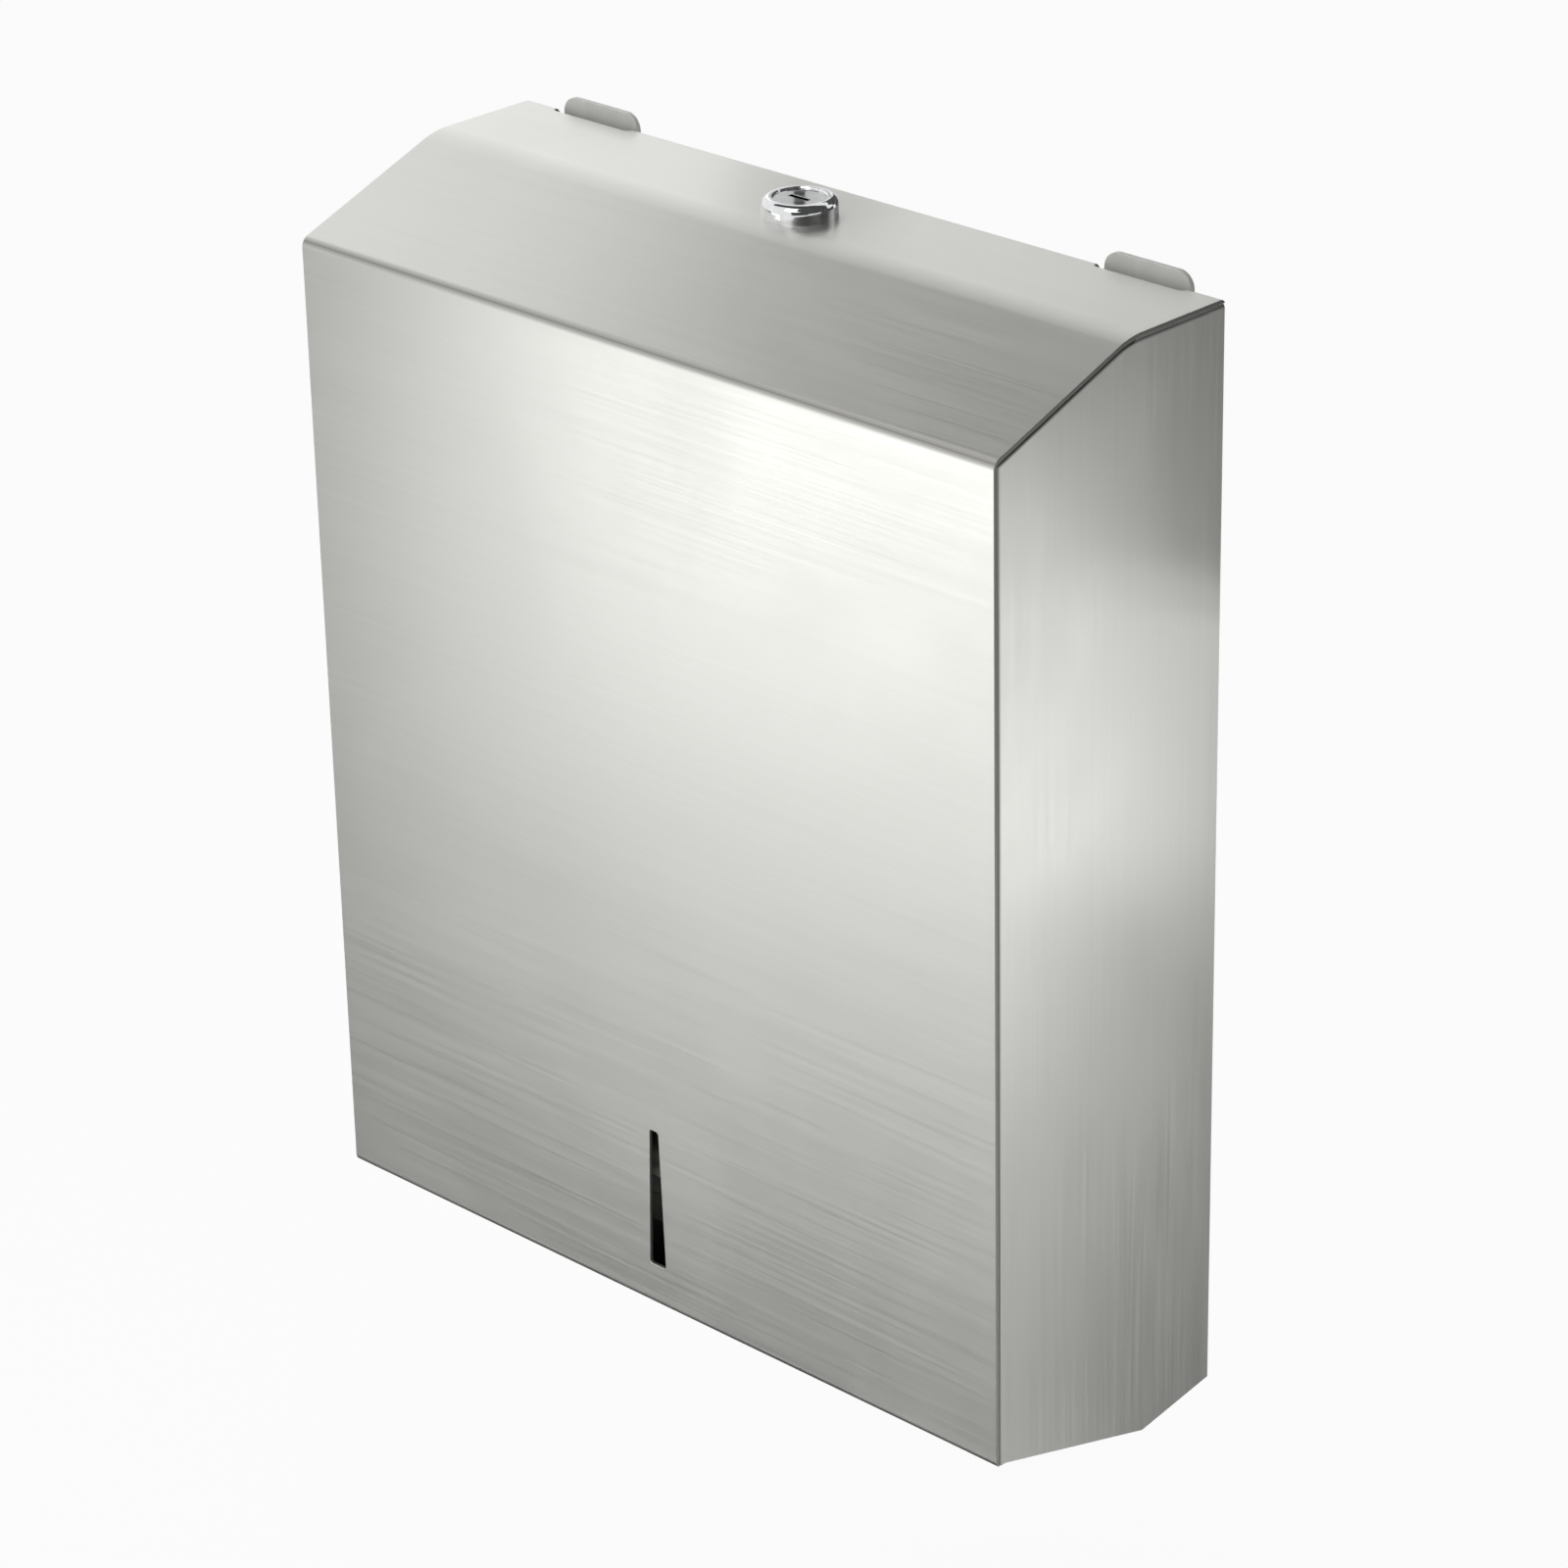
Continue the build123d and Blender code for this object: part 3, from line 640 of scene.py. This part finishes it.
bpy.ops.mesh.bevel(
    offset=(strip_fold - lap) * math.tan(strip_turn / 2),
    segments=10, affect="VERTICES", clamp_overlap=False,
)


def on_roof(p):
    """Whether a place is on the plate's front, slope or strip edge, and not on its rear or bottom edge."""
    return p.z > foot + tiny and p.y < rear - tiny


pick("EDGE", on_roof)
pull_out(-flange, 0, 0)
thicken(right_side)
bpy.ops.object.mode_set(mode="EDIT")
pick("EDGE", lambda p: near(p.x, side_outer) and on_roof(p))
bpy.ops.mesh.bevel(offset=bend, segments=5, affect="EDGES", clamp_overlap=False)
bpy.ops.object.mode_set(mode="OBJECT")
for corner in (Vector((0, front, front_top)), Vector((0, strip_front, top))):
    relief = start_piece(
        "cutter", bpy.ops.mesh.primitive_cylinder_add, (1, 1, 1),
        vertices=40, radius=relief_r, depth=2 * flange,
        location=(side_outer - sheet - flange, corner.y, corner.z), rotation=(0, math.pi / 2, 0),
    )
    cut_away(right_side, relief)
bpy.ops.object.select_all(action="DESELECT")
right_side.select_set(True)
bpy.context.view_layer.objects.active = right_side
bpy.ops.object.duplicate()
left_side = bpy.context.object
left_side.name = "left_cover_side"
left_side.data.name = "left_cover_side"
left_side.scale = (-1, 1, 1)
bpy.ops.object.transform_apply(location=True, rotation=True, scale=True)
bpy.ops.object.mode_set(mode="EDIT")
bpy.ops.mesh.select_all(action="SELECT")
bpy.ops.mesh.remove_doubles(threshold=tiny)
bpy.ops.mesh.normals_make_consistent(inside=False)
bpy.ops.object.mode_set(mode="OBJECT")


def side_cuts_and_fold_shade(place, normal):
    """1 on the cut edges, and up to 1 in the middle of the front bend, as painted shade along the bend."""
    edge_on = 0.3
    barely_forward = 0.05
    barely_outward = 0.02
    strength = 1.6
    outward = Vector((math.copysign(1, place.x), 0, 0))
    if not on_roof(place):
        return float(abs(normal.x) < edge_on)
    if normal.y > -barely_forward or normal.dot(outward) < barely_outward:
        return 0.0
    turned_by = normal.angle(outward) / (math.pi / 2)
    return min(1.0, max(0.0, strength * (1 - abs(2 * turned_by - 1))))


upright_steel = brushed_steel("brushed_steel_upright", turn=(0, 90, 0))
for side_plate in (right_side, left_side):
    break_edges(side_plate)
    lay_grain(side_plate, along=Vector((0, 0, 1)))
    mark_cuts_and_fold_shade(side_plate, side_cuts_and_fold_shade)
    side_plate.data.materials.append(upright_steel)
fit_new(right_side, "cover", "brushed_stainless", "right_side_plate")
fit_new(left_side, "cover", "brushed_stainless", "left_side_plate")

# Bottom tie and lock doubler
# Mill-finish strips spot-welded inside the cover.
# The tie holds the sides apart below, and the doubler stiffens the strip round the lock.
# Their colours are darker than the wall plate's mill sheet: painted shade inside the cover.
strip_steel_painted_shade = mill_steel(
    "mill_steel_strips_painted_shade", turn=(0, 0, 0), dullest=0.44, dark=(0.40, 0.40, 0.39), light=(0.58, 0.58, 0.56)
)
dress(strip_steel_painted_shade, "bottom_tie", "lock_doubler")

# Hinge studs, washers and clips
# Zinc-plated studs welded inside the sides, each with a washer and a dark spring clip in its groove.
# They turn in the bushes, so the cover swings down about them.


def spring_phosphate():
    """Phosphated spring steel: charcoal, slightly oily and crystalline."""
    made, tree, surface, where = start_material("spring_phosphate", metallic=0.7)
    crystals = place_group(tree, haze, where, Patches=900.0)["Haze"]
    edge = place_group(tree, soft_edge, Radius=0.00012)
    charcoal = (0.035, 0.035, 0.037)
    rubbed_charcoal = (0.11, 0.11, 0.115)
    crystal_tone = span(tree, crystals, low=0.0, high=0.6)
    rubbed_tone = span(tree, edge["Edge"], low=0.0, high=0.4)
    tint(tree, surface, total(tree, crystal_tone, rubbed_tone), charcoal, rubbed_charcoal)
    tree.links.new(span(tree, crystals, low=0.34, high=0.52), surface["Roughness"])
    emboss(tree, surface, crystals, depth=0.000008, normal=edge["Normal"])
    return made


dress(zinc, "left_hinge_stud", "right_hinge_stud", "left_hinge_washer", "right_hinge_washer")
dress(spring_phosphate(), "left_hinge_clip", "right_hinge_clip")

# Lock housing and plug
# A die-cast cam lock with a polished chrome head on the strip and a barrel through it.
# The plug in its middle has the keyway, and turns with the cam.


def lock_chrome():
    """Polished chrome with a trace of fingerprints."""
    made, tree, surface, where = start_material("lock_chrome", metallic=1.0)
    prints = place_group(tree, haze, where, Patches=240.0)["Haze"]
    edge = place_group(tree, soft_edge, Radius=0.00022)
    clean_chrome = (0.74, 0.75, 0.76)
    touched_chrome = (0.86, 0.865, 0.87)
    tint(tree, surface, prints, clean_chrome, touched_chrome)
    tree.links.new(span(tree, prints, low=0.05, high=0.13), surface["Roughness"])
    emboss(tree, surface, prints, depth=0.000002, normal=edge["Normal"])
    return made


dress(lock_chrome(), "lock_housing", "lock_plug")

# Lock washer, nut, cam and cam screw
# Zinc-plated steel: the nut clamps the barrel under the strip.
# The cam sits on the plug's square end under a washer and a socket screw.
dress(zinc, "lock_washer", "lock_nut", "lock_cam", "cam_washer", "cam_screw")

# Studio
# A pale floor well below the hanging object, a pale surround, and soft lamps.
# Cards stand out of sight and give the metal something dark, black or pale to reflect.
floor_height = -0.42
floor_size = 60.0


def seen_directly(tree):
    """1 for what the camera, a reflection or a clear piece looks at."""
    rays = place_node(tree, "ShaderNodeLightPath")
    either = place_node(tree, "ShaderNodeMath", operation="MAXIMUM")
    any_of = place_node(tree, "ShaderNodeMath", operation="MAXIMUM")
    tree.links.new(rays.outputs["Is Camera Ray"], either.inputs[0])
    tree.links.new(rays.outputs["Is Glossy Ray"], either.inputs[1])
    tree.links.new(either.outputs[0], any_of.inputs[0])
    tree.links.new(rays.outputs["Is Transmission Ray"], any_of.inputs[1])
    return any_of.outputs[0]


def floor_paper():
    """Matt white paper that reads as white, takes the object's shadow, and is clear from below."""
    paper_white = (0.86, 0.86, 0.86, 1.0)
    shown_white = 0.86
    made = bpy.data.materials.new("floor_paper")
    made.use_nodes = True
    tree = made.node_tree
    tree.nodes.remove(tree.nodes["Principled BSDF"])
    paper = place_node(tree, "ShaderNodeBsdfDiffuse", {"Color": paper_white})
    white = place_node(tree, "ShaderNodeEmission", {"Color": (1.0, 1.0, 1.0, 1.0), "Strength": 1.0})
    lift = place_node(tree, "ShaderNodeMath", {1: shown_white}, operation="MULTIPLY")
    mixed = place_node(tree, "ShaderNodeMixShader")
    tree.links.new(seen_directly(tree), lift.inputs[0])
    tree.links.new(lift.outputs[0], mixed.inputs[0])
    tree.links.new(paper.outputs[0], mixed.inputs[1])
    tree.links.new(white.outputs[0], mixed.inputs[2])
    below = place_node(tree, "ShaderNodeNewGeometry").outputs["Backfacing"]
    clear = place_node(tree, "ShaderNodeBsdfTransparent")
    one_sided = place_node(tree, "ShaderNodeMixShader")
    tree.links.new(below, one_sided.inputs[0])
    tree.links.new(mixed.outputs[0], one_sided.inputs[1])
    tree.links.new(clear.outputs[0], one_sided.inputs[2])
    tree.links.new(one_sided.outputs[0], tree.nodes["Material Output"].inputs["Surface"])
    return made


bpy.ops.object.select_all(action="DESELECT")
bpy.ops.mesh.primitive_plane_add(size=floor_size, location=(0, 0, floor_height))
floor = bpy.context.object
floor.name = "floor"
floor.data.materials.append(floor_paper())

world = bpy.data.worlds.new("surround")
bpy.context.scene.world = world
world.use_nodes = True
sky = world.node_tree
sky.nodes.remove(sky.nodes["Background"])
soft_light = place_node(sky, "ShaderNodeBackground", {"Color": (1.0, 1.0, 1.0, 1.0), "Strength": 0.8})
white_wall = place_node(sky, "ShaderNodeBackground", {"Color": (1.0, 1.0, 1.0, 1.0), "Strength": 1.0})
shown = place_node(sky, "ShaderNodeMixShader")
sky.links.new(seen_directly(sky), shown.inputs[0])
sky.links.new(soft_light.outputs[0], shown.inputs[1])
sky.links.new(white_wall.outputs[0], shown.inputs[2])
sky.links.new(shown.outputs[0], sky.nodes["World Output"].inputs["Surface"])


def hang_lamp(name, place, aim, size, power):
    """A soft rectangular lamp, of a width and height, that faces a point."""
    light = bpy.data.lights.new(name, "AREA")
    light.shape = "RECTANGLE"
    light.size, light.size_y = size
    light.energy = power
    lamp = bpy.data.objects.new(name, light)
    bpy.context.scene.collection.objects.link(lamp)
    lamp.location = place
    lamp.rotation_mode = "QUATERNION"
    lamp.rotation_quaternion = (Vector(aim) - Vector(place)).to_track_quat("-Z", "Y")
    lamp.visible_camera = False


hang_lamp("overhead_lamp", place=(0.2, -1.0, 1.8), aim=(0, 0, 0), size=(1.2, 1.2), power=9.0)
hang_lamp("front_lamp", place=(-0.6, -1.0, -0.2), aim=(0, -0.09, 0.05), size=(0.52, 0.3), power=1.22)
hang_lamp("side_lamp", place=(0.7, 0.44, -0.32), aim=(0.13, -0.04, 0.05), size=(0.32, 0.26), power=0.565)
hang_lamp(
    "side_low_lamp", place=(0.54, 0.18, -0.32), aim=(0.13, -0.06, -0.06),
    size=(0.3, 0.2), power=0.145,
)
hang_lamp("rear_lamp", place=(-1.35, 1.1, 0.75), aim=(0, 0, 0.16), size=(0.6, 0.6), power=0.4)


def card_paper(name, grey):
    """Matt card of one grey."""
    made = bpy.data.materials.new(name)
    made.use_nodes = True
    paint = made.node_tree.nodes["Principled BSDF"].inputs
    paint["Base Color"].default_value = (grey, grey, grey, 1.0)
    paint["Roughness"].default_value = 0.9
    return made


dark_card = card_paper("card_dark", grey=0.08)
black_card = card_paper("card_black", grey=0.015)
pale_card = card_paper("card_pale", grey=0.75)


def stand_card(name, place, aim, size, paper=dark_card):
    """A card, of a width and height, that faces a point and is seen only in reflections."""
    bpy.ops.object.select_all(action="DESELECT")
    bpy.ops.mesh.primitive_plane_add(size=1, location=place)
    card = bpy.context.object
    card.name = name
    card.rotation_mode = "QUATERNION"
    card.rotation_quaternion = (Vector(aim) - Vector(place)).to_track_quat("Z", "Y")
    card.scale = (*size, 1)
    card.data.materials.append(paper)
    card.visible_camera = False
    card.visible_shadow = False
    card.visible_diffuse = False


stand_card("front_floor_card", place=(-0.5, -0.395, -0.41), aim=(-0.5, -0.395, 0), size=(1.5, 0.81))
stand_card(
    "front_floor_left_card", place=(-0.85, -0.395, -0.405), aim=(-0.85, -0.395, 0),
    size=(0.8, 0.81), paper=black_card,
)
stand_card("front_left_card", place=(-1.26, -0.7, -0.24), aim=(0, -0.09, 0), size=(0.64, 0.56))
stand_card("side_floor_card", place=(0.73, 0.56, -0.41), aim=(0.73, 0.56, 0), size=(0.85, 0.85))
stand_card("side_far_card", place=(1.05, 1.0, 0.05), aim=(0.1, 0, 0), size=(1.4, 0.9))
stand_card("side_rear_card", place=(0.21, 0.12, 0.17), aim=(0.21, -0.2, 0.17), size=(0.16, 0.24))
stand_card("side_rear_mid_card", place=(0.25, 0.12, -0.04), aim=(0.25, -0.2, -0.04), size=(0.06, 0.16))
stand_card(
    "side_rear_low_card", place=(0.235, 0.12, -0.21), aim=(0.235, -0.2, -0.21),
    size=(0.21, 0.2), paper=black_card,
)
stand_card("side_rear_top_card", place=(0.175, 0.035, 0.12), aim=(0.175, -0.2, 0.12), size=(0.09, 0.13))
stand_card(
    "under_card", place=(-0.02, -0.06, -0.2), aim=(-0.02, -0.06, 0),
    size=(0.34, 0.26), paper=black_card,
)
stand_card("slope_card", place=(-0.27, 0.12, 0.8), aim=(-0.27, 0.12, 0), size=(0.7, 0.48))
stand_card("strip_card", place=(-0.15, 1.1, 0.7), aim=(0, 0, 0.16), size=(1.0, 0.7))
stand_card("strip_right_card", place=(-0.95, 1.1, 0.69), aim=(0.06, -0.02, 0.165), size=(0.4, 0.07))
stand_card(
    "lock_card", place=(-0.1055, 0.0819, 0.2212), aim=(0, -0.027, 0.17),
    size=(0.05, 0.04), paper=pale_card,
)
stand_card("lock_band_card", place=(-0.0792, 0.0547, 0.2083), aim=(0, -0.027, 0.17), size=(0.0035, 0.03))
stand_card("slope_edge_card", place=(0.775, 0.085, 0.915), aim=(0.13, -0.06, 0.155), size=(1.7, 1.7))
stand_card("camera_card", place=(0.85, -0.9, 0.55), aim=(0, -0.03, 0.17), size=(1.2, 0.9))
stand_card("rear_card", place=(-0.3, 1.2, 0.12), aim=(0, 0, 0.16), size=(0.9, 0.5))
stand_card("front_edge_card", place=(0.75, -0.72, -0.41), aim=(0.75, -0.72, 0), size=(1.0, 1.0))

# Camera
# The photograph's view of the object, from its right and from above, through a long lens.
view_yaw = math.radians(44.408)
view_pitch = math.radians(24.874)
view_roll = math.radians(-1.199)
view_place = Vector((1.0013, -1.0604, 0.6554))
film_width = 36.0
focal_length = 123.27

lens = bpy.data.cameras.new("camera")
lens.sensor_width = film_width
lens.lens = focal_length
camera = bpy.data.objects.new("camera", lens)
bpy.context.scene.collection.objects.link(camera)
camera.matrix_world = (
    Matrix.Translation(view_place)
    @ Matrix.Rotation(view_yaw, 4, "Z")
    @ Matrix.Rotation(math.pi / 2 - view_pitch, 4, "X")
    @ Matrix.Rotation(view_roll, 4, "Z")
)
bpy.context.scene.camera = camera
bpy.context.scene.view_settings.view_transform = "Standard"

# Last update
# The view layer is brought up to date.
bpy.context.view_layer.update()
